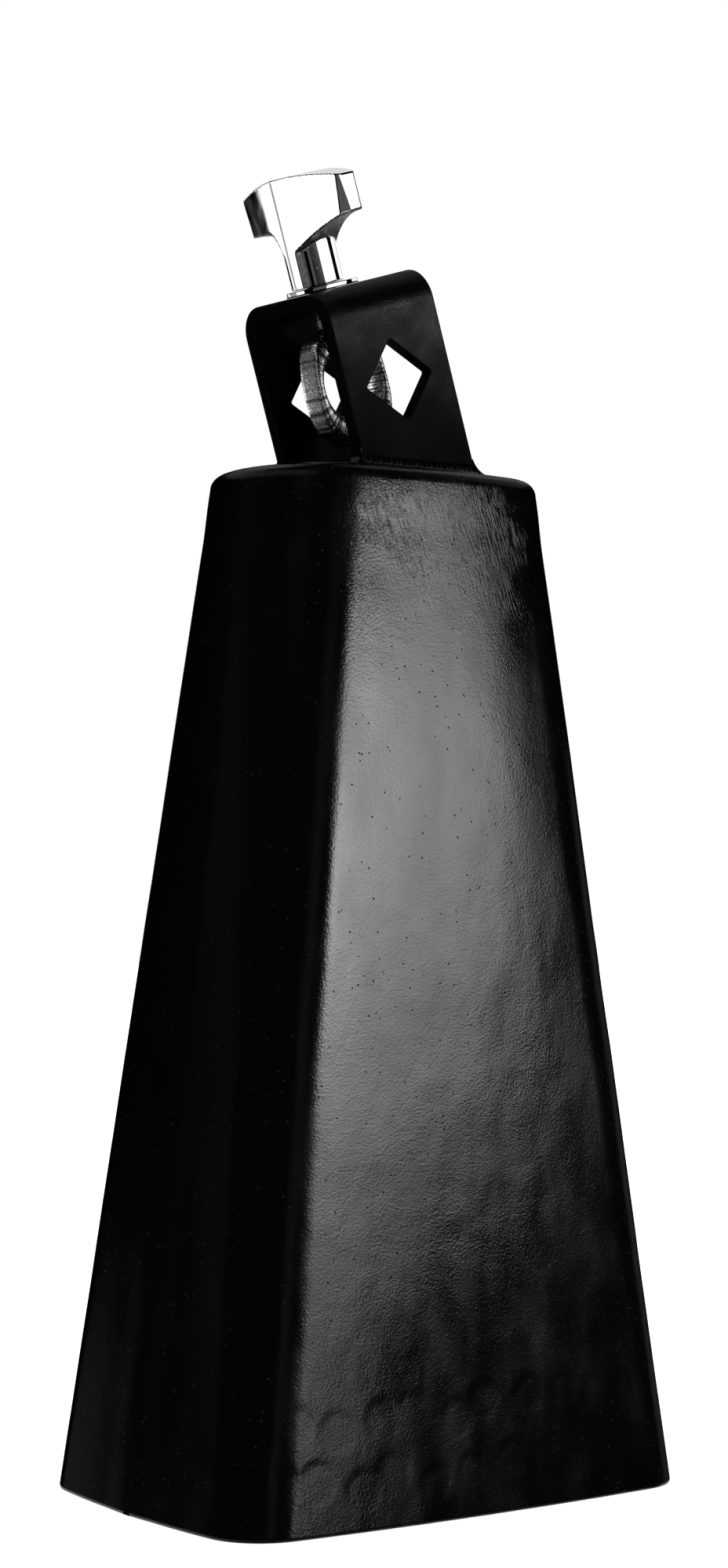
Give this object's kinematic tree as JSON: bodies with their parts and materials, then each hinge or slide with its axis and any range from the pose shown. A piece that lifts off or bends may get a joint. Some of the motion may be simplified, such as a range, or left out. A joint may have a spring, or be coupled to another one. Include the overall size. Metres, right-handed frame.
{
  "type": "cowbell",
  "caption": "Clapperless sheet-metal cowbell on a wide open mouth, with a leaning strap bracket and a wing-nut eye clamp that grips a round rod.",
  "frame": {"origin": "centre of the open mouth's rim plane, which is also the flat face the bell stands on", "axes": "+Z from the mouth to the closed end, +X along the two wide faces, -Y out of the front wide face; the bracket leans towards -X"},
  "size_m": [0.1138, 0.078, 0.264],
  "materials": {
    "shell_paint": "gloss",
    "weld_paint": "gloss",
    "strap_paint": "satin",
    "cast_chrome": "polished casting",
    "bright_chrome": "mirror"
  },
  "bodies": {
    "bell": {"front_shell": "shell_paint", "back_shell": "shell_paint", "left_seam_weld": "weld_paint", "right_seam_weld": "weld_paint", "top_seam_weld": "weld_paint", "bracket": "strap_paint", "front_bracket_weld": "weld_paint", "rear_bracket_weld": "weld_paint"},
    "eye_bolt": {"eye_bolt": "cast_chrome"},
    "washer": {"washer": "bright_chrome"},
    "wing_nut": {"wing_nut": "bright_chrome"}
  },
  "joints": [
    {"name": "wing_nut_turn", "type": "hinge", "parent": "bell", "child": "wing_nut", "pos_m": [-0.01309, 0, 0.24011], "axis": [-0.3024, 0, 0.9532], "range_deg": [-1440, 2160]},
    {"name": "eye_bolt_travel", "type": "slide", "parent": "bell", "child": "eye_bolt", "axis": [-0.3024, 0, 0.9532], "range_m": [-0.006, 0.004]},
    {"name": "washer_spin", "type": "hinge", "parent": "bell", "child": "washer", "pos_m": [-0.01309, 0, 0.24011], "axis": [-0.3024, 0, 0.9532], "continuous": true}
  ],
  "couplings": [
    {"joint": "eye_bolt_travel", "follows": "wing_nut_turn", "m_per_rad": -0.000159}
  ]
}
